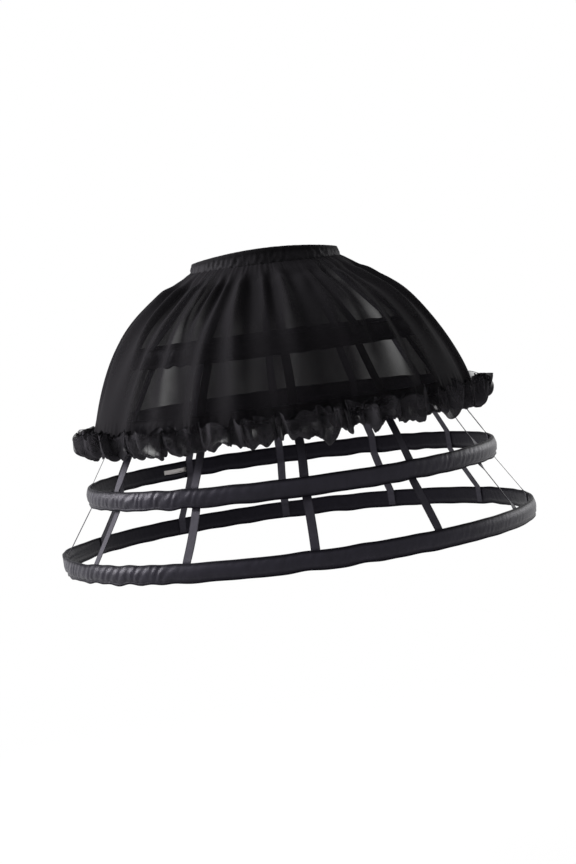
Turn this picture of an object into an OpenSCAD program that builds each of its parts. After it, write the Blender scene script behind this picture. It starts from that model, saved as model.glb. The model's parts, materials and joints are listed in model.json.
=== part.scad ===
// Crinoline cage: four boned hoops in cloth casings hang on tapes from an elastic waistband,
// under a sheer gathered overskirt that ends in a frill at the level of the second hoop.
// Millimetres, +Z up. The origin is the centre of the seam under the waistband,
// the front faces -Y and the wearer's left is +X.

/* [Waistband] */
// Radius of the waist opening
waist_r = 104; // [90:1:130]
// Height of the band at the two sides of the waist
band_side_h = 16; // [15:0.5:20]
// Height of the band at the middle of the front and of the back
band_front_h = 25; // [22:0.5:36]
// Thickness of the band under its ridges
band_t = 8; // [8:0.5:12]
// Height of one shirring ridge
ridge_h = 1.4; // [0.6:0.2:2.4]
// Number of shirring ridges round the band
ridge_count = 60; // [40:2:80]
// Height of the elastic inside the band
elastic_h = 10; // [8:0.5:11]
// Thickness of the elastic
elastic_t = 1.5; // [1:0.1:2.5]

/* [Hoops] */
// Outside diameter of the top hoop
top_hoop_d = 450; // [400:2:490]
// Outside diameter of the second hoop
second_hoop_d = 538; // [500:2:550]
// Outside diameter of the third hoop
third_hoop_d = 628; // [580:2:660]
// Outside diameter of the bottom hoop
bottom_hoop_d = 724; // [680:2:800]
// Drop from the waist seam to the middle of the top hoop
top_hoop_drop = 117; // [100:1:130]
// Distance from one hoop to the next
hoop_pitch = 98; // [85:1:110]
// Height of a hoop's cloth casing
casing_h = 28; // [22:0.5:34]
// Thickness of a hoop's cloth casing
casing_t = 7; // [6.5:0.5:9]
// Thickness of the casing's cloth wall
casing_wall = 1.2; // [0.8:0.1:1.4]
// Width of the steel bone
bone_w = 8; // [6:0.5:10]
// Thickness of the steel bone
bone_t = 1; // [0.6:0.1:1.4]
// Length of the crimped joiner that closes a bone
joiner_l = 50; // [30:1:60]
// Wall of the joiner
joiner_wall = 0.8; // [0.4:0.1:1]
// Length of the opening where a bone is fed into its casing
slot_l = 54; // [40:1:70]
// Height of that opening
slot_h = 9; // [7:0.5:12]

/* [Tapes] */
// Number of tapes
tape_count = 12; // [8:1:16]
// Width of a tape
tape_w = 13; // [8:0.5:18]
// Thickness of a tape
tape_t = 0.8; // [0.5:0.1:1.2]
// Turn of the front tape from the middle of the front, in degrees
tape_angle = 3; // [0:0.5:10]

/* [Overskirt] */
// Diameter of the overskirt at its hem
skirt_hem_d = 572; // [560:2:610]
// Drop from the waist seam to the hem
skirt_drop = 216; // [190:1:235]
// Thickness of the sheer cloth
skirt_t = 1; // [0.6:0.1:1.4]
// Number of gathers
gather_count = 32; // [24:1:40]
// Depth of a gather at its fullest
gather_depth = 5; // [2:0.5:7]

/* [Frill] */
// How far the frill stands out from the hem
frill_flare = 30; // [20:1:40]
// Drop of the frill below the hem
frill_drop = 54; // [40:1:60]
// Depth of the frill's folds at their fullest
frill_fold = 7; // [3:0.5:9]
// Number of folds round the frill
frill_count = 60; // [40:2:72]
// Thickness of the frill's cloth
frill_t = 1; // [0.6:0.1:1.4]

/* [Hidden] */
$fn = 240;
// Overrun of every cut
overrun = 2;
// Running gap between sewn pieces, and between a bone's steel and its cloth
seat_gap = 0.25;
// Play of a bone in its joiner
joiner_play = 0.1;
// Gap between the two ends of a bone
bone_end_gap = 1.5;
// Width of the seam allowance at each edge of the waist seam
seam_inset = 0.4;
// Cloth below the elastic's channel
elastic_lift = 2;

black_cloth = [0.07, 0.07, 0.08];
sheer_cloth = [0.10, 0.10, 0.11, 0.85];
steel = [0.72, 0.71, 0.70];
elastic_black = [0.12, 0.12, 0.12];

// Waistband sizes
band_r = waist_r + band_t;
band_rise = band_front_h - band_side_h;
saddle_r = (pow(band_r, 2) + pow(band_rise, 2)) / (2 * band_rise);
band_mid_r = waist_r + band_t / 2;
points_per_ridge = 6;

// Hoop sizes, from the top hoop to the bottom one
hoop_r = [top_hoop_d, second_hoop_d, third_hoop_d, bottom_hoop_d] / 2;
hoop_count = len(hoop_r);
hoop_z = [for (i = [0:hoop_count - 1]) -top_hoop_drop - i * hoop_pitch];
joiner_t = bone_t + 2 * (joiner_play + joiner_wall);
joiner_h = bone_w + 2 * (joiner_play + joiner_wall);
// Turn of the third hoop's opening from the middle of the front, and from hoop to hoop
slot_angle = 217.5;
slot_step_angle = 120;

// Overskirt and frill sizes
gather_seam_share = 0.4;
tape_top_r = waist_r + seam_inset + tape_t;
skirt_seam_r = band_r - seam_inset - gather_depth * gather_seam_share;
skirt_hem_r = skirt_hem_d / 2;
dome_rise_power = 0.64;
dome_round_power = 1.26;
skirt_rows = 10;
row_crowding_power = 1.6;
points_per_fold = 4;
// Slow change of the gathers' depth round the dome
gather_sway_share = 0.2;
gather_sway_count = 5;
// Frill's profile from hem to free edge: shares of its flare, its drop and its fold depth
frill_flare_shares = [0, 0.1, 0.6, 1, 0.97, 0.55];
frill_drop_shares = [0, 0.05, -0.07, 0.17, 0.52, 1];
frill_fold_shares = [0.15, 0.2, 0.45, 0.6, 0.8, 1];
// Drift of the folds round the frill, in degrees of one fold
frill_drift_angle = 45;
frill_drift_count = 9;

HOOPS = [for (i = [1:hoop_count]) str("hoop_", i)];
TAPES = [for (i = [1:tape_count]) str("tape_", i)];

// Angle from +X of a place that is turned from the middle of the front towards +X
function front_angle(turn) = turn - 90;
function unit(v) = v / norm(v);
// Angle at the axis of an arc of a given length
function arc_angle(length, radius) = length / radius * 180 / PI;

// Triangles of a closed shell: rows of an outer skin, then the same rows of its inner skin
function shell_faces(rows, columns) =
    let (inner = rows * columns)
    concat(
        [for (i = [0:rows - 2], j = [0:columns - 1])
            let (k = (j + 1) % columns, a = i * columns, b = a + columns)
            each [[a + j, a + k, b + k], [a + j, b + k, b + j]]],
        [for (i = [0:rows - 2], j = [0:columns - 1])
            let (k = (j + 1) % columns, a = inner + i * columns, b = a + columns)
            each [[a + j, b + k, a + k], [a + j, b + j, b + k]]],
        [for (j = [0:columns - 1])
            let (k = (j + 1) % columns)
            each [[j, inner + k, k], [j, inner + j, inner + k]]],
        [for (j = [0:columns - 1])
            let (k = (j + 1) % columns, a = inner - columns, b = 2 * inner - columns)
            each [[a + j, a + k, b + k], [a + j, b + k, b + j]]]
    );

// Slab with two half-round ends, in the plane of a hoop's section
module stadium(thickness, height) {
    square([thickness, height - thickness], center = true);
    for (side = [-1, 1])
        translate([0, side * (height - thickness) / 2]) circle(d = thickness);
}

// Band gathered on its elastic: ridged outside, with a true round opening and a saddle top
module waistband() {
    outline = [for (j = [0:ridge_count * points_per_ridge - 1])
        let (a = j * 360 / (ridge_count * points_per_ridge))
        (band_r + ridge_h * pow(cos(a * ridge_count / 2), 2)) * [cos(a), sin(a)]];
    color(black_cloth)
    difference() {
        intersection() {
            linear_extrude(height = band_front_h) polygon(outline);
            translate([0, 0, band_front_h - saddle_r]) rotate([90, 0, 0])
                cylinder(r = saddle_r, h = 3 * band_r, center = true);
        }
        translate([0, 0, -overrun]) cylinder(r = waist_r, h = band_front_h + 2 * overrun);
        rotate_extrude()
            translate([band_mid_r, elastic_lift + elastic_h / 2])
            square([elastic_t, elastic_h] + 2 * seat_gap * [1, 1], center = true);
    }
}

module waist_elastic() {
    color(elastic_black)
    rotate_extrude()
        translate([band_mid_r, elastic_lift + elastic_h / 2])
        square([elastic_t, elastic_h], center = true);
}

// Sewn cloth tube round a bone, with an opening in its inner wall where the bone goes in
module hoop_casing(i) {
    color(black_cloth)
    translate([0, 0, hoop_z[i]])
    difference() {
        rotate_extrude()
            translate([hoop_r[i] - casing_t / 2, 0])
            difference() {
                stadium(casing_t, casing_h);
                stadium(casing_t - 2 * casing_wall, casing_h - 2 * casing_wall);
            }
        rotate([0, 0, joint_angle(i) - arc_angle(slot_l, hoop_r[i]) / 2])
            rotate_extrude(angle = arc_angle(slot_l, hoop_r[i]))
            translate([hoop_r[i] - casing_t - overrun, -slot_h / 2])
            square([overrun + 2 * casing_wall, slot_h]);
    }
}

// The bones' joints are a third of a turn apart from hoop to hoop
function joint_angle(i) = front_angle(slot_angle + (i - 2) * slot_step_angle);
// Middle of the steel's thickness: the joiner bears on the outer wall of the casing
function steel_r(i) = hoop_r[i] - casing_wall - seat_gap - joiner_t / 2;

// Flat spring-steel hoop, open by a small gap that its joiner covers
module hoop_bone(i) {
    gap = arc_angle(bone_end_gap, steel_r(i));
    color(steel)
    translate([0, 0, hoop_z[i]])
    rotate([0, 0, joint_angle(i) + gap / 2])
        rotate_extrude(angle = 360 - gap)
        translate([steel_r(i), 0]) square([bone_t, bone_w], center = true);
}

// Flat crimped sleeve over the two ends of a bone
module hoop_joiner(i) {
    length = arc_angle(joiner_l, steel_r(i));
    color(steel)
    translate([0, 0, hoop_z[i]])
    rotate([0, 0, joint_angle(i) - length / 2])
        rotate_extrude(angle = length)
        translate([steel_r(i), 0])
        difference() {
            square([joiner_t, joiner_h], center = true);
            square([bone_t, bone_w] + 2 * joiner_play * [1, 1], center = true);
        }
}

// Flat tape from the waist seam down the inner face of every casing
module tape(i) {
    outer = concat(
        [[tape_top_r, 0]],
        [for (k = [0:hoop_count - 1], edge = [1, -1])
            let (last = k == hoop_count - 1 && edge == -1)
            [hoop_r[k] - casing_t - seat_gap,
                hoop_z[k] + edge * (last ? casing_h - casing_t : casing_h) / 2]]
    );
    inner = [for (k = [len(outer) - 1:-1:0]) outer[k] - [tape_t, 0]];
    reach = hoop_r[hoop_count - 1];
    depth = -hoop_z[hoop_count - 1] + casing_h;
    color(black_cloth)
    rotate([0, 0, front_angle(tape_angle + i * 360 / tape_count)])
    intersection() {
        rotate_extrude() polygon(concat(outer, inner));
        translate([0, -tape_w / 2, -depth]) cube([reach, tape_w, depth + overrun]);
    }
}

// Mean radius of the dome at a share of its depth
function dome_r(s) = skirt_seam_r
    + (skirt_hem_r - skirt_seam_r) * (1 - pow(1 - pow(s, dome_rise_power), dome_round_power));
// The gathers are tight at the seam, full over the top hoop and flatter at the hem
function gather(s) = gather_depth
    * (gather_seam_share + (1 - gather_seam_share) * sin(180 * sqrt(s)));
// Outward direction of the dome's wall, level at both edges
function dome_out(s) = s == 0 || s == 1 ? [1, 0]
    : let (step_share = 0.01)
      unit([2 * step_share * skirt_drop,
          dome_r(min(1, s + step_share)) - dome_r(s - step_share)]);
function gather_wave(a) = cos(a * gather_count)
    * (1 - gather_sway_share + gather_sway_share * cos(gather_sway_count * a));

// Sheer dome, gathered into the waist seam and open at the hem
module overskirt() {
    columns = gather_count * points_per_fold;
    shares = [for (k = [0:skirt_rows]) pow(k / skirt_rows, row_crowding_power)];
    points = [for (skin = [0, 1], s = shares, j = [0:columns - 1])
        let (a = j * 360 / columns, in = skin * skirt_t * dome_out(s),
            r = dome_r(s) + gather(s) * gather_wave(a) - in[0])
        [r * cos(a), r * sin(a), -s * skirt_drop - in[1]]];
    color(sheer_cloth) polyhedron(points, shell_faces(len(shares), columns), convexity = 10);
}

// Mean profile of the frill: radius and height of a row
function frill_at(k) = [skirt_hem_r + frill_flare * frill_flare_shares[k],
    -skirt_drop - frill_drop * frill_drop_shares[k]];
// Outward direction of the frill's wall at a row, level at the seam
function frill_out(k) = k == 0 ? [1, 0]
    : let (run = frill_at(min(k + 1, len(frill_flare_shares) - 1)) - frill_at(k - 1))
      unit([-run[1], run[0]]);
function frill_wave(a) = cos(a * frill_count + frill_drift_angle * sin(frill_drift_count * a));

// Gathered frill that stands out from the hem, curls over and hangs in folds
module frill() {
    columns = frill_count * points_per_fold;
    rows = len(frill_flare_shares);
    points = [for (skin = [0, 1], k = [0:rows - 1], j = [0:columns - 1])
        let (a = j * 360 / columns,
            push = frill_fold * frill_fold_shares[k] * frill_wave(a) - skin * frill_t,
            p = frill_at(k) + push * frill_out(k))
        [p[0] * cos(a), p[0] * sin(a), p[1]]];
    color(sheer_cloth) polyhedron(points, shell_faces(rows, columns), convexity = 10);
}

waistband();
waist_elastic();
overskirt();
frill();
for (i = [0:hoop_count - 1]) {
    hoop_casing(i);
    hoop_bone(i);
    hoop_joiner(i);
}
for (i = [0:tape_count - 1])
    tape(i);
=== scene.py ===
import json
import math

import bpy
import numpy as np
from mathutils import Matrix, Vector


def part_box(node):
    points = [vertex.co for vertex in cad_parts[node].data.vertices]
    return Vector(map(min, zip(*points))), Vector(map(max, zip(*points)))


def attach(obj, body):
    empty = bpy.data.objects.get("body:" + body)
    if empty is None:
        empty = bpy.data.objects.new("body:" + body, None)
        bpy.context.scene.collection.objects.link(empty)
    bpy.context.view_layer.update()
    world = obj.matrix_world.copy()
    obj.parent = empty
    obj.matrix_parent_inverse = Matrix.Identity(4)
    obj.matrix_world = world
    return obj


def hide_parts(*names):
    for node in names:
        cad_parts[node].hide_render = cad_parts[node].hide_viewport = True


bl_info = {
    "name": "Crinoline Cage",
    "version": (1, 0, 0),
    "blender": (4, 5, 0),
    "location": "3D View > Sidebar > Crinoline",
    "description": "Dresses a hoop petticoat: sheer overskirt, frill, boned hoops, tapes and waistband",
    "category": "Object",
}

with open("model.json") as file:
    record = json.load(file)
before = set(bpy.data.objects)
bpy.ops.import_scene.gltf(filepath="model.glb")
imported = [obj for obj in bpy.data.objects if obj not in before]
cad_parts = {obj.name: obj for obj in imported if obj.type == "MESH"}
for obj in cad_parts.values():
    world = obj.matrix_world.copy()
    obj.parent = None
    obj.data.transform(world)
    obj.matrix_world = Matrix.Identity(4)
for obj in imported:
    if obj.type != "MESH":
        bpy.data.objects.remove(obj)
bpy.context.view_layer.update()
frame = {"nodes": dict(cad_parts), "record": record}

BODY = "root"
TURN = 2 * math.pi
NODES = frame["nodes"]
HOOPS = sorted(name[: -len("_casing")] for name in NODES if name.endswith("_casing"))
TAPES = sorted((name for name in NODES if name.startswith("tape_")), key=lambda n: int(n[5:]))
WAIST_R = next(m["dims"]["r_mm"] for m in frame["record"]["mounts"] if m["name"] == "waist_opening") / 1000
SKIRT_LOW, SKIRT_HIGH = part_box("overskirt")
BAND_LOW, BAND_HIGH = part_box("waistband")


def turn_of(node):
    """Turn of a node's middle from the middle of the front (-Y) towards +X."""
    points = np.array([v.co for v in NODES[node].data.vertices])
    x, y = points[:, :2].mean(axis=0)
    return math.atan2(x, -y)


def ring_of(hoop):
    """Outside radius, middle height and height of a hoop's casing."""
    low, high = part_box(hoop + "_casing")
    return (high.x - low.x) / 2, (high.z + low.z) / 2, high.z - low.z


# Sizes and colours

def length(name, description, default):
    return bpy.props.FloatProperty(name=name, description=description, default=default, min=0,
                                   unit="LENGTH", subtype="DISTANCE", precision=5)


def share(name, description, default):
    return bpy.props.FloatProperty(name=name, description=description, default=default, min=0, max=1,
                                   subtype="FACTOR")


def count(name, description, default):
    return bpy.props.IntProperty(name=name, description=description, default=default, min=1)


def colour(name, description, default):
    return bpy.props.FloatVectorProperty(name=name, description=description, default=default,
                                         subtype="COLOR", size=3, min=0, max=1)


class CageSizes(bpy.types.PropertyGroup):
    """Sizes of the cloth that a user would change."""

    hem_radius: length("Hem radius", "Mean radius of the overskirt at its hem", 0.2885)
    seam_radius: length("Seam radius", "Radius at which the overskirt leaves the waist seam", 0.1172)
    skirt_drop: length("Skirt drop", "Depth of the overskirt", SKIRT_HIGH.z - SKIRT_LOW.z)
    cloth_width: length("Cloth width", "Flat width of the overskirt's cloth at its hem", 2.1)
    waist_width: length("Waist width", "Flat width of the overskirt's cloth at the waist, before it is gathered", 1.3)
    fold_depth: length("Fold depth", "Depth of the overskirt's deepest folds", 0.0082)
    hem_dip: length("Hem dip", "How far the hem sags at the middle of the front", 0.006)
    hem_drift: length("Hem drift", "How far the hem hangs towards the wearer's right", 0.003)
    long_folds: count("Long folds", "Folds that run from the waist towards the hem", 30)
    short_gathers: count("Short gathers", "Small gathers right below the waistband", 24)
    frill_folds: count("Frill folds", "Folds round the frill", 64)
    frill_fullness: bpy.props.FloatProperty(
        name="Frill fullness", description="Flat length of the frill over the length of its seam",
        default=2.1, min=1.2, max=3, subtype="FACTOR")
    hem_roll: length("Hem roll", "Thickness of the rolled edge of the frill", 0.0008)
    casing_thickness: length("Casing thickness", "Thickness of a hoop's casing", 0.007)
    casing_lean: bpy.props.FloatProperty(
        name="Casing lean", description="Lean of a casing, with its lower edge outward",
        default=math.radians(6), subtype="ANGLE")
    pucker_pitch: length("Pucker pitch", "Distance between the puckers of a casing", 0.0155)
    casing_puff: length("Casing puff", "How far the outer wall of a casing swells over its bone", 0.0012)
    pucker_depth: length("Pucker depth", "Depth of a casing's deepest puckers", 0.0017)
    tape_width: length("Tape width", "Width of a tape", 0.013)
    tape_thickness: length("Tape thickness", "Thickness of a tape", 0.0008)
    slot_length: length("Opening length", "Length of the opening in a casing's inner wall", 0.054)
    slot_height: length("Opening height", "Height of that opening", 0.009)
    ridge_height: length("Ridge height", "Height of the waistband's gathers", 0.0011)
    band_flare: length("Band flare", "How much wider the waistband is at its seam than at its top", 0.0050)


class CageLook(bpy.types.PropertyGroup):
    """Colours and sheerness of the cloth, and the colours of the rest."""

    chiffon: colour("Chiffon", "Colour of the sheer cloth", (0.0076, 0.0071, 0.0081))
    chiffon_clear: share("Chiffon clearness", "Light that one flat layer of the sheer cloth lets through", 0.195)
    # Painted light: the frill's colour is lighter than the chiffon's, for the light that its folds catch.
    frill: colour("Frill", "Colour of the frill, whose folds catch more light", (0.0200, 0.0190, 0.0215))
    frill_clear: share("Frill clearness", "Light that one flat layer of the frill lets through", 0.06)
    casing: colour("Casing", "Colour of the hoops' casings", (0.0095, 0.0088, 0.0130))
    tape: colour("Tape", "Colour of the tapes", (0.0235, 0.0220, 0.0285))
    band: colour("Band", "Colour of the waistband", (0.0118, 0.0112, 0.0124))
    thread: colour("Thread", "Colour of the sewing thread", (0.010, 0.010, 0.011))
    steel: colour("Steel", "Colour of the bones and joiners", (0.72, 0.69, 0.68))
    elastic: colour("Elastic", "Colour of the waist elastic", (0.012, 0.012, 0.012))


class CageStage(bpy.types.PropertyGroup):
    """Camera, light and floor."""

    camera_distance: length("Camera distance", "Distance of the camera from the axis", 3.2)
    camera_height: bpy.props.FloatProperty(
        name="Camera height", description="Height of the camera from the waist seam",
        default=-0.040, unit="LENGTH")
    aim: bpy.props.FloatVectorProperty(
        name="Aim", description="Point that the camera looks at", default=(0.0018, 0, -0.256),
        subtype="TRANSLATION")
    roll: bpy.props.FloatProperty(
        name="Roll", description="Turn of the camera about its view", default=math.radians(-7.3),
        subtype="ANGLE")
    lens: bpy.props.FloatProperty(
        name="Lens", description="Focal length on a 36 mm frame, in millimetres", default=87.4,
        unit="CAMERA")
    floor_drop: length("Floor drop", "Height of the waist over the floor", 1.0)
    floor: colour("Floor", "Colour of the floor", (0.86, 0.86, 0.86))


def settings():
    return bpy.context.scene.cage_sizes, bpy.context.scene.cage_look, bpy.context.scene.cage_stage


# Meshes

def deselect():
    bpy.ops.object.select_all(action="DESELECT")


def named(name):
    piece = bpy.context.object
    piece.name = piece.data.name = name
    return piece


def points_of(piece):
    points = np.empty(len(piece.data.vertices) * 3, np.float32)
    piece.data.vertices.foreach_get("co", points)
    return points.reshape(-1, 3).astype(float)


def set_points(piece, points):
    piece.data.vertices.foreach_set("co", points.astype(np.float32).ravel())
    piece.data.update()


def normals_of(piece):
    normals = np.empty(len(piece.data.vertices) * 3, np.float32)
    piece.data.vertices.foreach_get("normal", normals)
    return normals.reshape(-1, 3).astype(float)


def set_mask(piece, name, values):
    made = piece.data.attributes.new(name, "FLOAT", "POINT")
    made.data.foreach_set("value", values.astype(np.float32))


def flat_cloth(name, columns, rows):
    """Flat cloth of one unit square, with the share across it and the share down it of each point."""
    deselect()
    bpy.ops.mesh.primitive_grid_add(x_subdivisions=columns, y_subdivisions=rows, size=1)
    piece = named(name)
    flat = points_of(piece)
    return piece, flat[:, 0] + 0.5, 0.5 - flat[:, 1]


def ring_tube(name, columns, sides):
    """Cloth for a closed ring, with the turn round the axis and the turn round the section of each point."""
    piece, across, down = flat_cloth(name, columns, sides)
    return piece, across * TURN - math.pi, math.pi - down * TURN


def scale_uv(piece, across, down):
    """The UV map in metres of cloth."""
    layer = piece.data.uv_layers.active.data
    uv = np.empty(len(layer) * 2, np.float32)
    layer.foreach_get("uv", uv)
    layer.foreach_set("uv", (uv.reshape(-1, 2) * (across, down)).astype(np.float32).ravel())


def select(piece):
    deselect()
    piece.select_set(True)
    bpy.context.view_layer.objects.active = piece


def close_seam(piece):
    """Joins the edges of a cloth that goes right round."""
    select(piece)
    bpy.ops.object.mode_set(mode="EDIT")
    bpy.ops.mesh.select_all(action="SELECT")
    bpy.ops.mesh.remove_doubles(threshold=1e-6)
    bpy.ops.object.mode_set(mode="OBJECT")


def smooth(piece):
    select(piece)
    bpy.ops.object.shade_smooth()


def thicken(piece, thickness):
    select(piece)
    wall = piece.modifiers.new("Thickness", "SOLIDIFY")
    wall.thickness = thickness
    wall.offset = 0
    bpy.ops.object.modifier_apply(modifier=wall.name)


def fit(piece, slot, material, *nodes):
    """A finished piece: its material, its body and the CAD nodes that it stands for."""
    piece.data.materials.clear()
    piece.data.materials.append(material)
    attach(piece, BODY)
    if nodes:
        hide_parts(*nodes)
    return piece


def place(turn, radius, height):
    """Points at turns from the middle of the front, at these radii and heights."""
    return np.stack(np.broadcast_arrays(radius * np.sin(turn), -radius * np.cos(turn), height), axis=-1)


def ease(x, low, high):
    """0 below low, 1 above high, and smooth between them."""
    x = np.clip((x - low) / (high - low), 0, 1)
    return x * x * (3 - 2 * x)


def wander(turn, lowest, highest, draw):
    """Smooth random wave round the ring, about -1 to 1, with lowest to highest waves a turn."""
    total, power = np.zeros_like(turn), 0
    for waves in range(lowest, highest + 1):
        weight, phase = draw.normal(), draw.uniform(0, TURN)
        total += weight * np.cos(waves * turn + phase)
        power += weight * weight
    return total / math.sqrt(2 * power)


def crumples(turn, down, lowest, highest, draw):
    """Smooth random lumps, about -1 to 1, on a cloth round the ring."""
    total, waves_mixed = np.zeros_like(turn), 36
    for _ in range(waves_mixed):
        waves, fall = draw.integers(lowest, highest), draw.uniform(-9, 9)
        total += np.cos(waves * turn + fall * down + draw.uniform(0, TURN))
    return total / math.sqrt(waves_mixed)


# Materials

def node(tree, kind, **values):
    made = tree.nodes.new(kind)
    for name, value in values.items():
        setattr(made, name, value)
    return made


def maths(tree, operation, first, second=None):
    """A Math node; each of its inputs is a socket or a number."""
    made = node(tree, "ShaderNodeMath", operation=operation)
    for socket, value in zip(made.inputs, (first, second)):
        if isinstance(value, bpy.types.NodeSocket):
            tree.links.new(value, socket)
        elif value is not None:
            socket.default_value = value
    return made.outputs[0]


def new_group(name, inputs, outputs):
    group = bpy.data.node_groups.new(name, "ShaderNodeTree")
    for label, kind, default in inputs:
        socket = group.interface.new_socket(label, in_out="INPUT", socket_type=kind)
        if default is not None:
            socket.default_value = default
    for label, kind in outputs:
        group.interface.new_socket(label, in_out="OUTPUT", socket_type=kind)
    return group, node(group, "NodeGroupInput"), node(group, "NodeGroupOutput")


def weave_group():
    """Crossed threads: height of the cloth and a share that varies from thread to thread."""
    name = "Thread weave"
    if name in bpy.data.node_groups:
        return bpy.data.node_groups[name]
    group, start, end = new_group(
        name,
        [("Cloth", "NodeSocketVector", None), ("Threads per metre", "NodeSocketFloat", 900.0),
         ("Rib", "NodeSocketFloat", 1.0)],
        [("Height", "NodeSocketFloat"), ("Crumple", "NodeSocketFloat"), ("Shade", "NodeSocketFloat")])
    apart = node(group, "ShaderNodeSeparateXYZ")
    group.links.new(start.outputs["Cloth"], apart.inputs[0])
    turns = maths(group, "MULTIPLY", start.outputs["Threads per metre"], TURN)
    warp = maths(group, "SINE", maths(group, "MULTIPLY", apart.outputs["X"], turns))
    weft_turns = maths(group, "MULTIPLY", turns, start.outputs["Rib"])
    weft = maths(group, "SINE", maths(group, "MULTIPLY", apart.outputs["Y"], weft_turns))
    group.links.new(maths(group, "MULTIPLY", warp, weft), end.inputs["Height"])
    for output, scale in (("Shade", 60), ("Crumple", 230)):
        noise = node(group, "ShaderNodeTexNoise")
        noise.inputs["Scale"].default_value = scale
        noise.inputs["Detail"].default_value = 4
        group.links.new(start.outputs["Cloth"], noise.inputs["Vector"])
        group.links.new(noise.outputs["Fac"], end.inputs[output])
    return group


def crepe_group():
    """Uneven fine crepe of a sheer cloth: height, and how thick the cloth is there."""
    name = "Crepe"
    if name in bpy.data.node_groups:
        return bpy.data.node_groups[name]
    group, start, end = new_group(
        name,
        [("Cloth", "NodeSocketVector", None), ("Unevenness", "NodeSocketFloat", 0.3)],
        [("Height", "NodeSocketFloat"), ("Thickness", "NodeSocketFloat")])
    fine = node(group, "ShaderNodeTexNoise")
    fine.inputs["Scale"].default_value = 700
    fine.inputs["Detail"].default_value = 2
    slow = node(group, "ShaderNodeTexNoise")
    slow.inputs["Scale"].default_value = 45
    for noise in (fine, slow):
        group.links.new(start.outputs["Cloth"], noise.inputs["Vector"])
    group.links.new(fine.outputs["Fac"], end.inputs["Height"])
    mixed = maths(group, "ADD", fine.outputs["Fac"], slow.outputs["Fac"])
    uneven = maths(group, "MULTIPLY", maths(group, "SUBTRACT", mixed, 1.0), start.outputs["Unevenness"])
    group.links.new(maths(group, "ADD", uneven, 1.0), end.inputs["Thickness"])
    return group


def new_material(name, base, roughness, sheen=0.0, tint=(1, 1, 1), metallic=0.0, gloss=0.5):
    material = bpy.data.materials.new(name)
    material.use_nodes = True
    tree = material.node_tree
    shader = tree.nodes["Principled BSDF"]
    shader.inputs["Base Color"].default_value = (*base, 1)
    shader.inputs["Roughness"].default_value = roughness
    shader.inputs["Metallic"].default_value = metallic
    shader.inputs["Specular IOR Level"].default_value = gloss
    shader.inputs["Specular Tint"].default_value = (*tint, 1)
    shader.inputs["Sheen Weight"].default_value = sheen
    shader.inputs["Sheen Roughness"].default_value = 0.45
    shader.inputs["Sheen Tint"].default_value = (*tint, 1)
    return material, tree, shader


def bumped(tree, shader, height, strength, distance):
    bump = node(tree, "ShaderNodeBump")
    bump.inputs["Strength"].default_value = strength
    bump.inputs["Distance"].default_value = distance
    tree.links.new(height, bump.inputs["Height"])
    tree.links.new(bump.outputs["Normal"], shader.inputs["Normal"])


def shaded(tree, shader, shade, dark, light):
    """The base colour between two colours, by a share."""
    mix = node(tree, "ShaderNodeMix", data_type="RGBA")
    mix.inputs[6].default_value = (*dark, 1)
    mix.inputs[7].default_value = (*light, 1)
    tree.links.new(shade, mix.inputs[0])
    tree.links.new(mix.outputs[2], shader.inputs["Base Color"])


def times(tint, factor):
    return tuple(min(1.0, c * factor) for c in tint)


def woven_material(name, tint, threads, rib=1.0, roughness=0.55, sheen=0.02, sheen_tint=(0.90, 0.86, 1.0),
                   relief=0.025, crumple=0.5, painted_shade_mask=None, gloss=0.1):
    """Woven cloth, with relief as the height of its threads; a mask of painted shade may darken parts of it and take
    their gloss.
    """
    material, tree, shader = new_material(name, tint, roughness, sheen, sheen_tint, gloss=gloss)
    uv = node(tree, "ShaderNodeUVMap")
    weave = node(tree, "ShaderNodeGroup", node_tree=weave_group())
    weave.inputs["Threads per metre"].default_value = threads
    weave.inputs["Rib"].default_value = rib
    tree.links.new(uv.outputs["UV"], weave.inputs["Cloth"])
    shade = weave.outputs["Shade"]
    if painted_shade_mask:
        mask = node(tree, "ShaderNodeAttribute", attribute_name=painted_shade_mask)
        shade = maths(tree, "MULTIPLY", shade, mask.outputs["Fac"])
        tree.links.new(maths(tree, "MULTIPLY", mask.outputs["Fac"], gloss), shader.inputs["Specular IOR Level"])
    shaded(tree, shader, shade, times(tint, 0.4), times(tint, 1.6))
    crumpled = maths(tree, "MULTIPLY", weave.outputs["Crumple"], crumple)
    height = maths(tree, "ADD", maths(tree, "MULTIPLY", weave.outputs["Height"], relief), crumpled)
    bumped(tree, shader, height, 0.7, 0.0009)
    return material


def sheer_material(name, tint, clear, unevenness):
    """Sheer cloth: a mask says how many layers lie there, and a slanting view meets more of the threads."""
    material, tree, shader = new_material(name, tint, 0.7, 0.004, (0.95, 0.92, 1.0), gloss=0.01)
    uv = node(tree, "ShaderNodeUVMap")
    crepe = node(tree, "ShaderNodeGroup", node_tree=crepe_group())
    crepe.inputs["Unevenness"].default_value = unevenness
    tree.links.new(uv.outputs["UV"], crepe.inputs["Cloth"])
    mask = node(tree, "ShaderNodeAttribute", attribute_name="cloth_layers")
    slant = node(tree, "ShaderNodeLayerWeight")
    slant.inputs["Blend"].default_value = 0.5
    facing = maths(tree, "MAXIMUM", maths(tree, "SUBTRACT", 1.0, slant.outputs["Facing"]), 0.2)
    layers = maths(tree, "MULTIPLY", mask.outputs["Fac"], crepe.outputs["Thickness"])
    layers = maths(tree, "DIVIDE", layers, facing)
    through = maths(tree, "POWER", clear, layers)
    tree.links.new(maths(tree, "SUBTRACT", 1.0, through), shader.inputs["Alpha"])
    bumped(tree, shader, crepe.outputs["Height"], 0.25, 0.0002)
    return material


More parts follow.
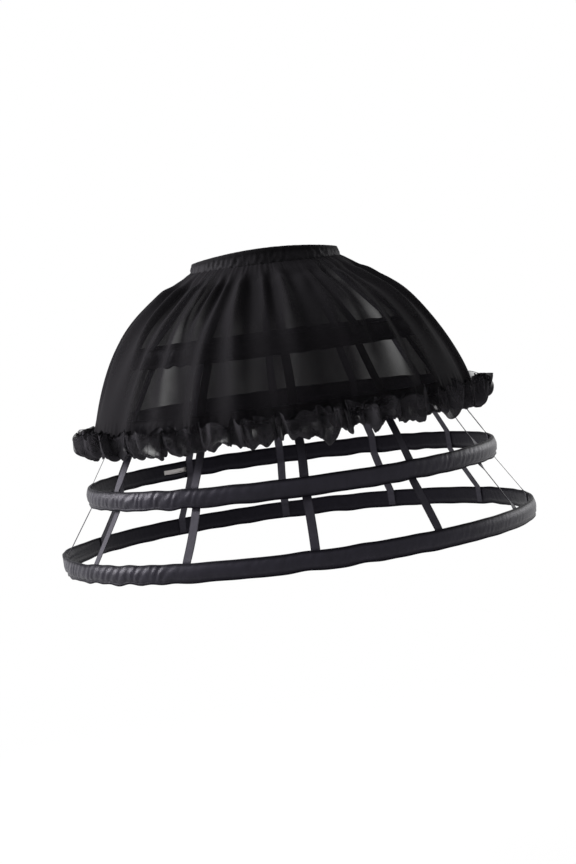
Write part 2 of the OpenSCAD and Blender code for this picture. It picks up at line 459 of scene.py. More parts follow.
def steel_material(name, tint):
    material, tree, shader = new_material(name, tint, 0.34, metallic=1.0)
    where = node(tree, "ShaderNodeTexCoord")
    streaks = node(tree, "ShaderNodeMapping")
    streaks.inputs["Scale"].default_value = (40, 40, 2500)
    noise = node(tree, "ShaderNodeTexNoise")
    noise.inputs["Scale"].default_value = 1.0
    noise.inputs["Detail"].default_value = 5
    tree.links.new(where.outputs["Object"], streaks.inputs["Vector"])
    tree.links.new(streaks.outputs["Vector"], noise.inputs["Vector"])
    shaded(tree, shader, noise.outputs["Fac"], times(tint, 0.8), times(tint, 1.15))
    tree.links.new(maths(tree, "MULTIPLY_ADD", noise.outputs["Fac"], 0.3), shader.inputs["Roughness"])
    bumped(tree, shader, noise.outputs["Fac"], 0.15, 0.0001)
    return material


def ribbed_material(name, tint):
    """Woven elastic: upright ribs on object coordinates."""
    material, tree, shader = new_material(name, tint, 0.8)
    where = node(tree, "ShaderNodeTexCoord")
    waves = node(tree, "ShaderNodeTexWave", wave_type="BANDS", bands_direction="Z")
    waves.inputs["Scale"].default_value = 160
    tree.links.new(where.outputs["Object"], waves.inputs["Vector"])
    shaded(tree, shader, waves.outputs["Fac"], times(tint, 0.6), times(tint, 1.3))
    bumped(tree, shader, waves.outputs["Fac"], 0.4, 0.0003)
    return material


# Overskirt

def band_gathers(turn):
    """Gathers of the waistband, about -1 to 1, which go on into the top of the overskirt."""
    draw = np.random.default_rng(5)
    gathers = 0.6 * np.cos(47 * turn + 2.4 * wander(turn, 5, 30, draw))
    return gathers + 0.4 * np.cos(109 * turn + 1.8 * wander(turn, 10, 60, draw))


DOME_RISE, DOME_ROUND = 0.70, 1.36


def dome(depth):
    """Mean radius and height of the overskirt at a share of its depth."""
    sizes = settings()[0]
    swell = 1 - (1 - depth ** DOME_RISE) ** DOME_ROUND
    return sizes.seam_radius + (sizes.hem_radius - sizes.seam_radius) * swell, -depth * sizes.skirt_drop


def dome_out(depth):
    """Outward direction of the dome, as a radial part and an upright part."""
    step = 0.004
    r_up, z_up = dome(np.clip(depth - step, 0, 1))
    r_down, z_down = dome(np.clip(depth + step, 0, 1))
    run, fall = r_down - r_up, z_up - z_down
    size = np.hypot(run, fall)
    return fall / size, run / size


def hem_gathers(turn):
    """Small gathers at the hem, which its frill shares."""
    draw = np.random.default_rng(17)
    return 0.0007 * wander(turn, 120, 190, draw) + 0.0010 * wander(turn, 50, 90, draw)


def sag(turn):
    """How far the hem hangs below its level: most on the wearer's right."""
    return settings()[0].hem_dip * (1 - 0.8 * np.sin(turn))


def drift(points, share):
    """Moves a share of the hem's drift towards the wearer's right."""
    points[:, 0] -= settings()[0].hem_drift * share
    return points


def fold_family(turn, depth, folds, deepest, reach, draw):
    """Sum of separate folds that run down from the waist, each with its own place, width, depth and reach."""
    total = np.zeros_like(turn)
    pitch = TURN / folds
    for i in range(folds):
        middle = (i + draw.uniform(-0.42, 0.42)) * pitch + draw.normal(0, 0.35) * pitch * depth
        width = pitch * draw.uniform(0.17, 0.36) * (0.8 + 0.5 * depth)
        height = deepest * draw.uniform(0.25, 1) * draw.choice([1, 1, -0.7])
        end = draw.uniform(*reach)
        across = (turn - middle + math.pi) % TURN - math.pi
        near = np.abs(across) < 4 * width
        x = across[near] / width[near]
        ridge = (1 - x * x) * np.exp(-x * x / 2)
        fade = ease(depth[near], -0.01, 0.10) * (1 - ease(depth[near], end * 0.45, end))
        total[near] += height * ridge * fade
    return total


def row_fullness(points, rows, columns, cloth_widths):
    """Layers of cloth in each row beyond what its mesh follows."""
    ring = points.reshape(rows + 1, columns + 1, 3)
    along = np.linalg.norm(np.diff(ring, axis=1), axis=2).sum(axis=1)
    return np.maximum(cloth_widths / np.repeat(along, columns + 1), 1)


class CAGE_OT_overskirt(bpy.types.Operator):
    """Sheer dome of cloth, gathered into the waist seam"""

    bl_idname = "cage.overskirt"
    bl_label = "Overskirt"

    columns = 1320
    rows = 62
    row_bunching = 1.55
    seam_drop = 0.003
    tuck_in, tuck_up = 0.0036, 0.005
    # Each family's count, its depth as a share of the deepest folds, and how far down its folds reach
    fold_families = (("long_folds", 1.0, (0.8, 2.3)), ("long_folds", 0.4, (0.2, 0.8)),
                     ("short_gathers", 0.62, (0.14, 0.55)))
    # The cloth is stretched thinner at both sides of the front and of the back, and bunched in the valleys
    thin_side, thin_spread, thinner = 0.66, 0.17, 0.55
    thickest = 1.15
    valley_layers = 0.32

    def execute(self, context):
        sizes, look, _ = settings()
        draw = np.random.default_rng(11)
        piece, across, down = flat_cloth("overskirt_cloth", self.columns, self.rows)
        depth, turn = down ** self.row_bunching, across * TURN
        radius, height = dome(depth)
        out_r, out_z = dome_out(depth)
        push = sum(fold_family(turn, depth, getattr(sizes, folds), share * sizes.fold_depth, reach, draw)
                   for folds, share, reach in self.fold_families)
        push += 0.0016 * wander(turn, 3, 14, draw) * ease(depth, 0.1, 0.5)
        push -= 0.7 * sizes.fold_depth * ease(depth, 0.0, 0.06) * (1 - ease(depth, 0.12, 0.40))
        push += 0.45 * sizes.ridge_height * band_gathers(turn) * (1 - ease(depth, 0.0, 0.07))
        push += hem_gathers(turn) * ease(depth, 0.86, 0.99)
        radius = radius - self.tuck_in * (1 - ease(down, 0, 0.05))
        height = height - self.seam_drop * (1 - ease(depth, 0, 0.3))
        height = height + self.tuck_up * (1 - ease(down, 0, 0.06)) - sag(turn) * ease(depth, 0.4, 1)
        points = drift(place(turn, radius + push * out_r, height + push * out_z), ease(depth, 0.2, 1))
        set_points(piece, points)
        widths = sizes.waist_width + (sizes.cloth_width - sizes.waist_width) * down
        layers = row_fullness(points, self.rows, self.columns, widths)
        from_thin = (np.abs(np.sin(turn)) - self.thin_side) / self.thin_spread
        layers *= self.thickest - self.thinner * np.exp(-from_thin ** 2)
        valley = np.clip(-1.5 * push / sizes.fold_depth, -0.6, 1)
        set_mask(piece, "cloth_layers", layers * (1 + self.valley_layers * valley))
        slope = np.hypot(*np.diff(np.array(dome(np.linspace(0, 1, 400) ** self.row_bunching)))).sum()
        scale_uv(piece, sizes.cloth_width, slope)
        close_seam(piece)
        smooth(piece)
        fit(piece, "sheer_cloth", sheer_material("Chiffon", look.chiffon, look.chiffon_clear, 0.35), "overskirt")
        return {"FINISHED"}


# Frill

HEADING_ROWS_SHARE = 0.1
HEADING_FLARE, HEADING_RISE = 0.006, 0.0025
SEAM_INSET, SEAM_RISE = 0.0028, 0.003
FRILL_FLARE = (0.0, 0.006, 0.026, 0.023)
FRILL_FALL = (0.0, 0.034, 0.042, -0.007)


def frill_line(down):
    """Mean radius and height of the frill: a short heading over the seam, and a strip that hangs and turns up."""
    sizes = settings()[0]
    t = np.clip((down - HEADING_ROWS_SHARE) / (1 - HEADING_ROWS_SHARE), 0, 1)[:, None]
    weights = np.hstack([(1 - t) ** 3, 3 * t * (1 - t) ** 2, 3 * t * t * (1 - t), t ** 3])
    head = np.clip(1 - down / HEADING_ROWS_SHARE, 0, 1)
    radius = sizes.hem_radius - SEAM_INSET + weights @ np.array(FRILL_FLARE) + HEADING_FLARE * head ** 0.8
    height = SEAM_RISE - sizes.skirt_drop - weights @ np.array(FRILL_FALL) + HEADING_RISE * head ** 1.2
    return radius, height


def frill_out(down):
    """Outward direction of the frill, as a radial part and an upright part."""
    step = 0.008
    r_up, z_up = frill_line(np.clip(down - step, 0, 1))
    r_down, z_down = frill_line(np.clip(down + step, 0, 1))
    size = np.hypot(r_down - r_up, z_up - z_down)
    return (z_up - z_down) / size, (r_down - r_up) / size


def meander(columns, folds, steepest, draw):
    """Plan of a gathered edge: shares of a turn and offsets, in turns, of a line that winds to and fro."""
    across = np.linspace(0, 1, columns + 1)
    turn = across * TURN
    phase = folds * turn + 4.2 * wander(turn, folds // 12, folds // 2, draw)
    heading = steepest * (1 + 0.45 * wander(turn, folds // 8, folds, draw)) * np.cos(phase)
    along = np.concatenate([[0], np.cumsum(np.cos(heading[:-1]))])
    aside = np.concatenate([[0], np.cumsum(np.sin(heading[:-1]))])
    aside = (aside - across * aside[-1]) / along[-1]
    waves = np.fft.rfft(aside[:-1])
    waves[: folds // 3] = 0
    aside = np.fft.irfft(waves, columns)
    return along / along[-1], np.append(aside, aside[0])


class CAGE_OT_frill(bpy.types.Operator):
    """Gathered strip that hangs from the hem and turns up and out, with rolled edges"""

    bl_idname = "cage.frill"
    bl_label = "Frill"

    columns_per_fold = 26
    rows = 34
    steepest, fine_steepest = 1.45, 1.1
    sway, trail = 0.036, 0.03
    stand_out, stand_up = 0.32, 0.22
    billow, crumple, fine_crumple = 0.0042, 0.0034, 0.0011
    edge_lift, heading_lift = 0.008, 0.0016
    thickest = 2.2

    def execute(self, context):
        sizes, look, _ = settings()
        draw = np.random.default_rng(23)
        columns = sizes.frill_folds * self.columns_per_fold
        piece, across, down = flat_cloth("frill_cloth", columns, self.rows)
        base, column = across * TURN, np.rint(across * columns).astype(int)
        hang = np.clip((down - HEADING_ROWS_SHARE) / (1 - HEADING_ROWS_SHARE), 0, 1)
        head = np.clip(1 - down / HEADING_ROWS_SHARE, 0, 1)
        opened = 0.04 + 0.96 * ease(hang, 0.0, 0.85) + 0.55 * head
        along, aside = meander(columns, sizes.frill_folds, self.steepest, draw)
        fine_along, fine_aside = meander(columns, 2 * sizes.frill_folds, self.fine_steepest, draw)
        near_seam = 0.12 + 0.33 * np.exp(-((hang - 0.22) / 0.2) ** 2)
        turn = across + opened * (along[column] - across) + near_seam * (fine_along[column] - across)
        turn = TURN * turn + hang ** 1.4 * self.sway * wander(base, 14, 70, draw) - self.trail * hang
        radius, height = frill_line(down)
        stand = wander(base, 9, 46, draw)
        radius = sizes.hem_radius + (radius - sizes.hem_radius) * (1 + self.stand_out * stand)
        height = -sizes.skirt_drop + (height + sizes.skirt_drop) * (1 - self.stand_up * stand)
        out_r, out_z = frill_out(down)
        ring = TURN * sizes.hem_radius
        push = ring * (aside[column] * opened + fine_aside[column] * near_seam)
        push *= 1 - 0.55 * np.exp(-((hang - 0.5) / 0.24) ** 2)
        push += self.billow * hang * wander(base, 18, 50, draw)
        below_seam = ease(hang, 0.02, 0.3)
        push += self.crumple * crumples(base, hang, 60, 170, draw) * below_seam
        push += self.fine_crumple * crumples(base, 2.5 * hang, 130, 330, draw) * below_seam
        lift = (self.edge_lift * hang ** 1.6 + self.heading_lift * head) * np.tanh(wander(base, 26, 110, draw))
        lift += 0.25 * push * hang ** 2
        height = height + push * out_z * (1 - 0.35 * hang) + lift - sag(base)
        radius = radius + push * out_r + hem_gathers(base) * (1 - ease(hang, 0, 0.2))
        points = drift(place(turn, radius, height), 1 - 0.6 * ease(hang, 0, 0.6))
        set_points(piece, points)
        strip = ring * sizes.frill_fullness
        layers = np.minimum(row_fullness(points, self.rows, columns, strip), self.thickest)
        layers *= np.clip(0.85 + 0.6 * crumples(base, 2 * hang, 20, 70, draw), 0.2, 1.3)
        set_mask(piece, "cloth_layers", layers * (1 - 0.5 * ease(hang, 0.6, 0.95)))
        profile = np.array(frill_line(np.linspace(0, 1, 300)))
        width = np.hypot(*np.diff(profile)).sum()
        scale_uv(piece, strip, width)
        lines = points.reshape(self.rows + 1, columns + 1, 3)[:, :-1]
        close_seam(piece)
        smooth(piece)
        # Painted light: the frill chiffon takes the lighter frill colour.
        material = sheer_material("Frill chiffon painted lighter", look.frill, look.frill_clear, 0.35)
        fit(piece, "frill_cloth", material, "frill")
        rolls = [self.rolled_edge("frill_edge", lines[0], sizes.hem_roll, look),
                 self.rolled_edge("frill_heading_edge", lines[-1], sizes.hem_roll, look)]
        return {"FINISHED"}

    def rolled_edge(self, name, edge, thickness, look):
        """Thin roll of cloth along a free edge."""
        curve = bpy.data.curves.new(name, "CURVE")
        curve.dimensions = "3D"
        line = curve.splines.new("POLY")
        line.points.add(len(edge) - 1)
        line.points.foreach_set("co", np.hstack([edge, np.ones((len(edge), 1))]).astype(np.float32).ravel())
        line.use_cyclic_u = True
        curve.bevel_depth = thickness / 2
        curve.bevel_resolution = 1
        piece = bpy.data.objects.new(name, curve)
        bpy.context.scene.collection.objects.link(piece)
        select(piece)
        bpy.ops.object.convert(target="MESH")
        piece = named(name)
        smooth(piece)
        return fit(piece, "frill_cloth", thread_material("Rolled edge", times(look.chiffon, 0.6), 0.02))


def thread_material(name, tint, gloss=0.1):
    material, tree, shader = new_material(name, tint, 0.6, 0.01, (0.85, 0.85, 1.0), gloss=gloss)
    where = node(tree, "ShaderNodeTexCoord")
    noise = node(tree, "ShaderNodeTexNoise")
    noise.inputs["Scale"].default_value = 900
    tree.links.new(where.outputs["Object"], noise.inputs["Vector"])
    shaded(tree, shader, noise.outputs["Fac"], times(tint, 0.6), times(tint, 1.4))
    bumped(tree, shader, noise.outputs["Fac"], 0.3, 0.0002)
    return material


# Hoops

# Hoop, turn of the dent's middle, its half width and its tuck, in degrees
DENTS = (("hoop_4", -95, 13, 40), ("hoop_4", -62, 7, 14))
BONE_HALF = 0.0042
SEAM_LEVEL = -0.70


def casing_half_thickness(rise, thickness):
    """Half the thickness of a casing at a height from -1 to 1: a puffed channel over a stitched lower edge."""
    pinch = np.exp(-((rise + 0.66) / 0.09) ** 2)
    edge = 1 - ease(rise, -0.78, -0.56)
    return thickness / 2 * (1 - 0.62 * pinch) * (1 - 0.35 * edge)


def casing_shift(hoop, turn, up):
    """Outward shift of a casing's wall: it leans out at its lower edge, or is tucked in at a dent, off its bone."""
    sizes = settings()[0]
    lean = np.full_like(turn, sizes.casing_lean)
    for dented, middle, width, tuck in DENTS:
        if dented == hoop:
            off = (turn - math.radians(middle) + math.pi) % TURN - math.pi
            lean -= math.radians(tuck) * np.exp(-(off / math.radians(width)) ** 2)
    return -np.sin(lean) * (up - np.clip(up, -BONE_HALF, BONE_HALF))


class CAGE_OT_casings(bpy.types.Operator):
    """Puckered cloth tubes of the hoops, each open where its bone goes in"""

    bl_idname = "cage.casings"
    bl_label = "Hoop casings"

    sides = 30
    column_pitch = 0.0021
    puckered_turn, puckered_spread = math.radians(-52), math.radians(38)
    turned_in = 0.0012
    # Painted shade: share of colour and gloss left on a casing's inner wall.
    painted_inside_shade = 0.35

    def execute(self, context):
        sizes, look, _ = settings()
        material = woven_material("Casing cloth", look.casing, 1100, roughness=0.40, gloss=0.185, painted_shade_mask="middle")
        for number, hoop in enumerate(HOOPS):
            self.casing(hoop, np.random.default_rng(40 + number), sizes, material)
        return {"FINISHED"}

    def casing(self, hoop, draw, sizes, material):
        radius, middle, tall = ring_of(hoop)
        ring = TURN * radius
        columns = int(ring / self.column_pitch)
        piece, turn, section = ring_tube(hoop + "_casing_cloth", columns, self.sides)
        rise = np.sign(np.sin(section)) * np.abs(np.sin(section)) ** 0.85
        side = np.sign(np.cos(section)) * np.abs(np.cos(section)) ** 0.5
        left = np.exp(-((turn - self.puckered_turn) / self.puckered_spread) ** 2)
        zone = np.clip(0.28 + 0.35 * wander(turn, 2, 7, draw) + 0.85 * left, 0.08, 1)
        from_joiner = np.abs((turn - turn_of(hoop + "_joiner") + math.pi) % TURN - math.pi) * radius
        zone *= 0.3 + 0.7 * ease(from_joiner, 0.03, 0.06)
        phase = round(ring / sizes.pucker_pitch) * turn
        phase += 2.3 * wander(turn, 10, 64, draw) - (4.4 + 1.3 * wander(turn, 8, 50, draw)) * rise
        pucker = (0.5 + 0.5 * np.cos(phase)) ** 1.3 * np.clip(0.75 + 0.3 * wander(turn, 16, 70, draw), 0.15, 1.2)
        fine_phase = round(2.6 * ring / sizes.pucker_pitch) * turn + 3 * wander(turn, 30, 90, draw) + rise
        fine = 0.5 + 0.5 * np.cos(fine_phase)
        half = casing_half_thickness(rise, sizes.casing_thickness)
        body = ease(rise, -0.74, -0.5) * (1 - ease(rise, 0.7, 1))
        inside = side < 0
        half += np.where(inside, 0, sizes.casing_puff) * np.exp(-((rise - 0.12) / 0.5) ** 2) * body
        half -= zone * sizes.pucker_depth * np.where(inside, 0.4, 1) * (0.85 * pucker + 0.15 * fine) * body
        wobble = 0.0008 * wander(turn, 15, 45, draw) + 0.0012 * zone * wander(turn, 24, 60, draw)
        up, out = rise * tall / 2 + wobble * (0.75 - 0.25 * rise), side * half
        core = radius - sizes.casing_thickness / 2 + casing_shift(hoop, turn, up)
        set_points(piece, place(turn, core + out, middle + up))
        # Painted shade: the mask darkens the casing and takes its gloss towards its upper and lower edges, and over
        # its whole inner wall.
        edges = 0.92 * ease(np.abs(rise), 0.66, 0.88)
        set_mask(piece, "middle", (1 - edges) * np.where(inside, self.painted_inside_shade, 1))
        scale_uv(piece, ring, 2 * tall)
        close_seam(piece)
        self.open_slot(piece, hoop, radius, middle, sizes)
        smooth(piece)
        fit(piece, "casing_cloth", material, hoop + "_casing")

    def open_slot(self, piece, hoop, radius, middle, sizes):
        """Cuts the opening in the inner wall and turns its edge in."""
        centre = turn_of(hoop + "_joiner")
        wall = radius - sizes.casing_thickness / 2
        half_turn = sizes.slot_length / 2 / wall
        select(piece)
        bpy.ops.object.mode_set(mode="EDIT")
        bpy.ops.mesh.select_all(action="DESELECT")
        bpy.ops.object.mode_set(mode="OBJECT")
        for face in piece.data.polygons:
            x, y, z = face.center
            off = (math.atan2(x, -y) - centre + math.pi) % TURN - math.pi
            inside = math.hypot(x, y) < wall
            face.select = inside and abs(off) < half_turn and abs(z - middle) < sizes.slot_height / 2
        bpy.ops.object.mode_set(mode="EDIT")
        bpy.ops.mesh.delete(type="FACE")
        bpy.ops.mesh.select_all(action="DESELECT")
        bpy.ops.mesh.select_mode(type="EDGE")
        bpy.ops.mesh.select_non_manifold()
        outward = Vector((math.sin(centre), -math.cos(centre), 0)) * self.turned_in
        bpy.ops.mesh.extrude_edges_move(TRANSFORM_OT_translate={"value": outward})
        bpy.ops.mesh.select_mode(type="VERT")
        bpy.ops.object.mode_set(mode="OBJECT")


class CAGE_OT_steel(bpy.types.Operator):
    """Finish of the bones, their joiners and the waist elastic"""

    bl_idname = "cage.steel"
    bl_label = "Bones, joiners and elastic"

    def execute(self, context):
        look = settings()[1]
        bone = steel_material("Bone steel", times(look.steel, 0.85))
        joiner = steel_material("Joiner steel", look.steel)
        elastic = ribbed_material("Elastic", look.elastic)
        finishes = {"bone": bone, "joiner": joiner, "elastic": elastic}
        for name, piece in NODES.items():
            kind = name.split("_")[-1]
            if kind in finishes:
                piece.data.materials.clear()
                piece.data.materials.append(finishes[kind])
        return {"FINISHED"}


# Tapes

def tape_path(sizes):
    """Radius and height of the middle of a tape's thickness, from the waist seam to the bottom hoop."""
    gap = 0.00025 + sizes.tape_thickness / 2
    path = [(WAIST_R + 0.0004 + sizes.tape_thickness / 2, 0.0008)]
    for hoop in HOOPS:
        radius, middle, tall = ring_of(hoop)
        bottom = 0.36 if hoop == HOOPS[-1] else 0.5
        inside = radius - sizes.casing_thickness - gap
        lean = 0.6 * math.sin(sizes.casing_lean) * tall / 2
        path += [(inside - lean, middle + tall / 2), (inside + lean * (2 * bottom - 0.3), middle - tall * bottom)]
    return np.array(path)


class CAGE_OT_tapes(bpy.types.Operator):
    """Ribbed tapes that carry the hoops"""

    bl_idname = "cage.tapes"
    bl_label = "Tapes"

    rows = 150
    columns = 8
    edge_on_tape = "tape_3"

    def execute(self, context):
        sizes, look, _ = settings()
        material = woven_material("Tape cloth", look.tape, 620, rib=0.5, roughness=0.5, relief=0.04, crumple=0.3,
                                  painted_shade_mask="middle", gloss=0.10)
        path = tape_path(sizes)
        steps = np.concatenate([[0], np.hypot(*np.diff(path, axis=0).T).cumsum()])
        for number, name in enumerate(TAPES):
            self.tape(name, path, steps, np.random.default_rng(70 + number), sizes, material)
        return {"FINISHED"}

    def tape(self, name, path, steps, draw, sizes, material):
        piece, across, down = flat_cloth(name + "_ribbon", self.columns, self.rows)
        at = down * steps[-1]
        radius, height = np.interp(at, steps, path[:, 0]), np.interp(at, steps, path[:, 1])
        free = np.zeros_like(at)
        twist = np.zeros_like(at)
        for start, end in zip(steps[0::2], steps[1::2]):
            span = np.clip((at - start) / (end - start), 0, 1)
            bow = np.sin(math.pi * span)
            free += bow * draw.normal(0, 0.0012)
            lean = draw.normal(0, math.radians(5))
            if name == self.edge_on_tape and start > steps[3]:
                lean = math.radians(22)
            twist += lean * np.clip(2.2 * bow, 0, 1)
        side = (across - 0.5) * sizes.tape_width
        turn = turn_of(name)
        tangent = side * np.cos(twist) + free
        points = place(turn, radius - side * np.sin(twist), height)
        points += tangent[:, None] * place(turn + math.pi / 2, 1.0, 0.0)
        set_points(piece, points)
        # Painted shade: the tape is darker and less glossy towards its edges.
        set_mask(piece, "middle", 1 - 0.75 * ease(np.abs(across - 0.5), 0.38, 0.49))
        scale_uv(piece, sizes.tape_width, steps[-1])
        thicken(piece, sizes.tape_thickness)
        select(piece)
        bpy.ops.object.shade_smooth_by_angle(angle=math.radians(50))
        fit(piece, "tape_cloth", material, name)


# Waistband

class CAGE_OT_waistband(bpy.types.Operator):
    """Shirred band over its elastic, higher at the front and the back than at the sides"""

    bl_idname = "cage.waistband"
    bl_label = "Waistband"

    columns = 1400
    sides = 32
    inset = 0.0014
    side_share = 0.64
    shirring_rows = (0.14, 0.36, 0.58)
    fold_level = 0.66

    def execute(self, context):
        sizes, look, _ = settings()
        draw = np.random.default_rng(5)
        piece, turn, section = ring_tube("waistband_cloth", self.columns, self.sides)
        outer = BAND_HIGH.x - self.inset
        front, side_height = BAND_HIGH.z, self.side_share * BAND_HIGH.z
        top = front - (front - side_height) * np.sin(turn) ** 2
        rise = np.sign(np.sin(section)) * np.abs(np.sin(section)) ** 0.7
        side = np.sign(np.cos(section)) * np.abs(np.cos(section)) ** 0.3
        level = (rise + 1) / 2
        rows = sum(np.exp(-((level - row) / 0.06) ** 2) for row in self.shirring_rows)
        puff = 1 - 0.75 * np.clip(rows, 0, 1)
        gathers = 0.4 * band_gathers(turn) * (1 - 0.8 * level) + crumples(turn, 1.6 * level, 24, 80, draw)
        fold = ease(level, self.fold_level - 0.05, self.fold_level + 0.05)
        gathers *= 1 - 0.88 * fold
        middle = (WAIST_R + outer) / 2
        half = (outer - WAIST_R) / 2
        radius = middle + side * half
        radius += np.where(side > 0, sizes.ridge_height * (gathers * puff - 0.5 * (1 - puff)), 0.0003 * gathers)
        radius += np.where(side > 0, side * sizes.band_flare * (1 - level) ** 1.3, 0)
        crimp = 0.00012 * wander(turn, 20, 80, draw) * ease(level, 0.6, 1)
        low = -CAGE_OT_overskirt.seam_drop
        set_points(piece, place(turn, radius, low + level * (top - low) + crimp))
        # Painted shade: the band is darker and less glossy above its fold level, towards its top.
        set_mask(piece, "middle", 1 - 0.7 * fold)
        scale_uv(piece, TURN * outer, 2 * front)
        close_seam(piece)
        smooth(piece)
        material = woven_material("Band cloth", look.band, 1000, roughness=0.55, painted_shade_mask="middle", gloss=0.025)
        fit(piece, "band_cloth", material, "waistband")
        return {"FINISHED"}


# Sewing

class CAGE_OT_sewing(bpy.types.Operator):
    """Stitches along the casings' lower edges and where the tapes cross the casings"""

    bl_idname = "cage.sewing"
    bl_label = "Sewing"

    stitch_length = 0.0026
    stitch_thickness = 0.0006
    stitch_pitch = 0.0042

    def execute(self, context):
        sizes, look, _ = settings()
        material = thread_material("Thread", look.thread)
        for hoop in HOOPS:
            self.casing_seam(hoop, sizes, material)
        self.tape_tacks(sizes, material)
        return {"FINISHED"}

    def stitches(self, name, places):
        """One mesh of a stitch at each place, given as its middle, its run and its outward direction."""
        deselect()
        bpy.ops.mesh.primitive_ico_sphere_add(subdivisions=1, radius=0.5)
        piece = named(name)
        unit = points_of(piece) * (self.stitch_length, self.stitch_thickness, self.stitch_thickness)
        select(piece)
        bpy.ops.object.mode_set(mode="EDIT")
        for _ in range(math.ceil(math.log2(len(places)))):
            bpy.ops.mesh.select_all(action="SELECT")
            bpy.ops.mesh.duplicate()
        bpy.ops.object.mode_set(mode="OBJECT")
        spare = len(piece.data.vertices) // len(unit) - len(places)
        moved = [unit @ np.array([run, np.cross(out, run), out]) + middle for middle, run, out in places]
        moved += [moved[0]] * spare
        set_points(piece, np.concatenate(moved))
        if spare:
            self.drop_last(piece, spare * len(unit))
        smooth(piece)
        return piece

    def drop_last(self, piece, spare):
        """Deletes the spare copies, which are the last points."""
        chosen = np.zeros(len(piece.data.vertices), bool)
        chosen[-spare:] = True
        select(piece)
        bpy.ops.object.mode_set(mode="EDIT")
        bpy.ops.mesh.select_all(action="DESELECT")
        bpy.ops.object.mode_set(mode="OBJECT")
        piece.data.vertices.foreach_set("select", chosen)
        bpy.ops.object.mode_set(mode="EDIT")
        bpy.ops.mesh.delete(type="VERT")
        bpy.ops.object.mode_set(mode="OBJECT")

    def casing_seam(self, hoop, sizes, material):
        radius, middle, tall = ring_of(hoop)
        level = middle + SEAM_LEVEL * tall / 2
        half = casing_half_thickness(np.array([SEAM_LEVEL]), sizes.casing_thickness)[0]
        ring = radius - sizes.casing_thickness / 2 + half - 0.0001
        stitches = int(TURN * ring / self.stitch_pitch)
        turns = np.arange(stitches) * TURN / stitches
        places = []
        for turn, shift in zip(turns, casing_shift(hoop, turns, level - middle)):
            out = place(turn, 1.0, 0.0)
            places.append((place(turn, ring + shift, level), place(turn + math.pi / 2, 1.0, 0.0), out))
        fit(self.stitches(hoop + "_seam", places), "casing_cloth", material)

    def tape_tacks(self, sizes, material):
        places = []
        path = tape_path(sizes)[::-1]
        for name in TAPES:
            turn = turn_of(name)
            out, run = -place(turn, 1.0, 0.0), place(turn + math.pi / 2, 1.0, 0.0)
            for hoop in HOOPS:
                _, middle, tall = ring_of(hoop)
                for level in (middle + 0.28 * tall, middle - 0.28 * tall):
                    for step in np.linspace(-0.36, 0.36, 4):
                        face = np.interp(level, path[:, 1], path[:, 0]) - sizes.tape_thickness / 2 - 0.0001
                        spot = place(turn, face, level) + run * step * sizes.tape_width
                        places.append((spot, run, out))
        fit(self.stitches("tape_tacks", places), "tape_cloth", material)


# Stage

# Name, place, size in metres, watts and colour of each lamp
LAMPS = (("key", (-2.7, 0.4, 0.7), 1.3, 97, (1.0, 0.98, 1.0)),
         ("fill", (2.5, 1.7, 0.6), 1.6, 32, (1.0, 1.0, 1.0)),
         ("top", (-1.9, -0.1, 2.2), 1.8, 170, (1.0, 1.0, 1.0)))
LIT_POINT = Vector((0, 0, -0.25))
SOFT_LIGHT = 0.42
# White share of the floor, near the object and away from it
FLOOR_WHITE = {"From Min": 0.8, "From Max": 2.0, "To Min": 0.96, "To Max": 1.0}


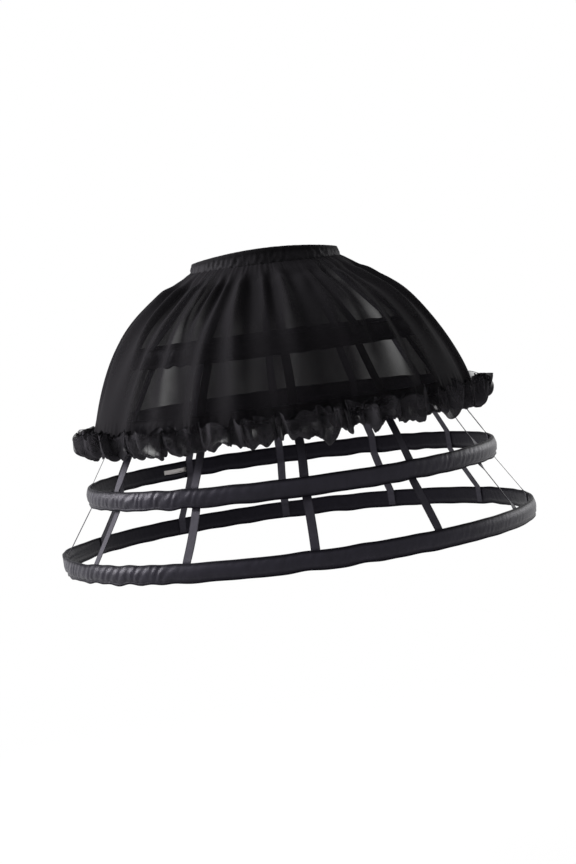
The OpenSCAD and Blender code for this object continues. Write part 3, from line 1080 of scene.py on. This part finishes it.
class CAGE_OT_stage(bpy.types.Operator):
    """Floor, soft light and a camera at the view of the photograph"""

    bl_idname = "cage.stage"
    bl_label = "Stage"

    def execute(self, context):
        _, _, stage = settings()
        self.floor(stage)
        self.light()
        self.camera(stage)
        context.scene.view_settings.view_transform = "Standard"
        return {"FINISHED"}

    def floor(self, stage):
        deselect()
        bpy.ops.mesh.primitive_plane_add(size=30, location=(0, 0, -stage.floor_drop))
        floor = named("floor")
        bpy.ops.object.transform_apply(location=True, rotation=True, scale=True)
        material, tree, shader = new_material("Floor", stage.floor, 0.9)
        self.white_for_camera(tree, shader.outputs["BSDF"], tree.nodes["Material Output"].inputs["Surface"])
        floor.data.materials.append(material)

    def white_for_camera(self, tree, lit, surface):
        """Most of what the camera sees of the floor is plain white, and the rest keeps the shadow."""
        path = node(tree, "ShaderNodeLightPath")
        seen = maths(tree, "MAXIMUM", path.outputs["Is Camera Ray"], path.outputs["Is Glossy Ray"])
        seen = maths(tree, "MAXIMUM", seen, path.outputs["Is Transmission Ray"])
        white = node(tree, "ShaderNodeEmission")
        mix = node(tree, "ShaderNodeMixShader")
        where, far = node(tree, "ShaderNodeTexCoord"), node(tree, "ShaderNodeVectorMath", operation="LENGTH")
        share = node(tree, "ShaderNodeMapRange")
        for name, value in FLOOR_WHITE.items():
            share.inputs[name].default_value = value
        tree.links.new(where.outputs["Object"], far.inputs[0])
        tree.links.new(far.outputs["Value"], share.inputs["Value"])
        tree.links.new(maths(tree, "MULTIPLY", seen, share.outputs["Result"]), mix.inputs["Fac"])
        tree.links.new(lit, mix.inputs[1])
        tree.links.new(white.outputs["Emission"], mix.inputs[2])
        tree.links.new(mix.outputs["Shader"], surface)

    def light(self):
        world = bpy.context.scene.world or bpy.data.worlds.new("Studio")
        bpy.context.scene.world = world
        world.use_nodes = True
        tree = world.node_tree
        tree.nodes.clear()
        path = node(tree, "ShaderNodeLightPath")
        seen = maths(tree, "MAXIMUM", path.outputs["Is Camera Ray"], path.outputs["Is Transmission Ray"])
        seen = maths(tree, "MAXIMUM", seen, path.outputs["Is Glossy Ray"])
        soft, white = node(tree, "ShaderNodeBackground"), node(tree, "ShaderNodeBackground")
        soft.inputs["Strength"].default_value = SOFT_LIGHT
        white.inputs["Color"].default_value = (1, 1, 1, 1)
        mix = node(tree, "ShaderNodeMixShader")
        tree.links.new(seen, mix.inputs["Fac"])
        tree.links.new(soft.outputs[0], mix.inputs[1])
        tree.links.new(white.outputs[0], mix.inputs[2])
        tree.links.new(mix.outputs[0], node(tree, "ShaderNodeOutputWorld").inputs["Surface"])
        for lamp in LAMPS:
            self.lamp(*lamp)

    def lamp(self, name, spot, size, watts, tint):
        lamp = bpy.data.lights.new(name, "AREA")
        lamp.size, lamp.energy, lamp.color = size, watts, tint
        holder = bpy.data.objects.new(name, lamp)
        bpy.context.scene.collection.objects.link(holder)
        holder.location = spot
        holder.rotation_mode = "QUATERNION"
        holder.rotation_quaternion = (LIT_POINT - Vector(spot)).to_track_quat("-Z", "Y")

    def camera(self, stage):
        data = bpy.data.cameras.new("camera")
        data.lens, data.sensor_width = stage.lens, 36
        camera = bpy.data.objects.new("camera", data)
        bpy.context.scene.collection.objects.link(camera)
        spot = Vector((0, -stage.camera_distance, stage.camera_height))
        look = (Vector(stage.aim) - spot).to_track_quat("-Z", "Y").to_matrix().to_4x4()
        camera.matrix_world = Matrix.Translation(spot) @ look @ Matrix.Rotation(stage.roll, 4, "Z")
        bpy.context.scene.camera = camera


STEPS = (CAGE_OT_waistband, CAGE_OT_overskirt, CAGE_OT_frill, CAGE_OT_casings, CAGE_OT_steel,
         CAGE_OT_tapes, CAGE_OT_sewing, CAGE_OT_stage)


class CAGE_PT_panel(bpy.types.Panel):
    """Steps that dress the cage, in order"""

    bl_idname = "CAGE_PT_panel"
    bl_label = "Crinoline Cage"
    bl_space_type = "VIEW_3D"
    bl_region_type = "UI"
    bl_category = "Crinoline"

    def draw(self, context):
        for step in STEPS:
            self.layout.operator(step.bl_idname)


GROUPS = {"cage_sizes": CageSizes, "cage_look": CageLook, "cage_stage": CageStage}
CLASSES = (*GROUPS.values(), *STEPS, CAGE_PT_panel)


def register():
    for cls in CLASSES:
        bpy.utils.register_class(cls)
    for name, group in GROUPS.items():
        setattr(bpy.types.Scene, name, bpy.props.PointerProperty(type=group))


def unregister():
    for name in GROUPS:
        delattr(bpy.types.Scene, name)
    for cls in reversed(CLASSES):
        bpy.utils.unregister_class(cls)


def main():
    register()
    bpy.ops.cage.waistband()
    bpy.ops.cage.overskirt()
    bpy.ops.cage.frill()
    bpy.ops.cage.casings()
    bpy.ops.cage.steel()
    bpy.ops.cage.tapes()
    bpy.ops.cage.sewing()
    bpy.ops.cage.stage()


if __name__ == "__main__":
    main()
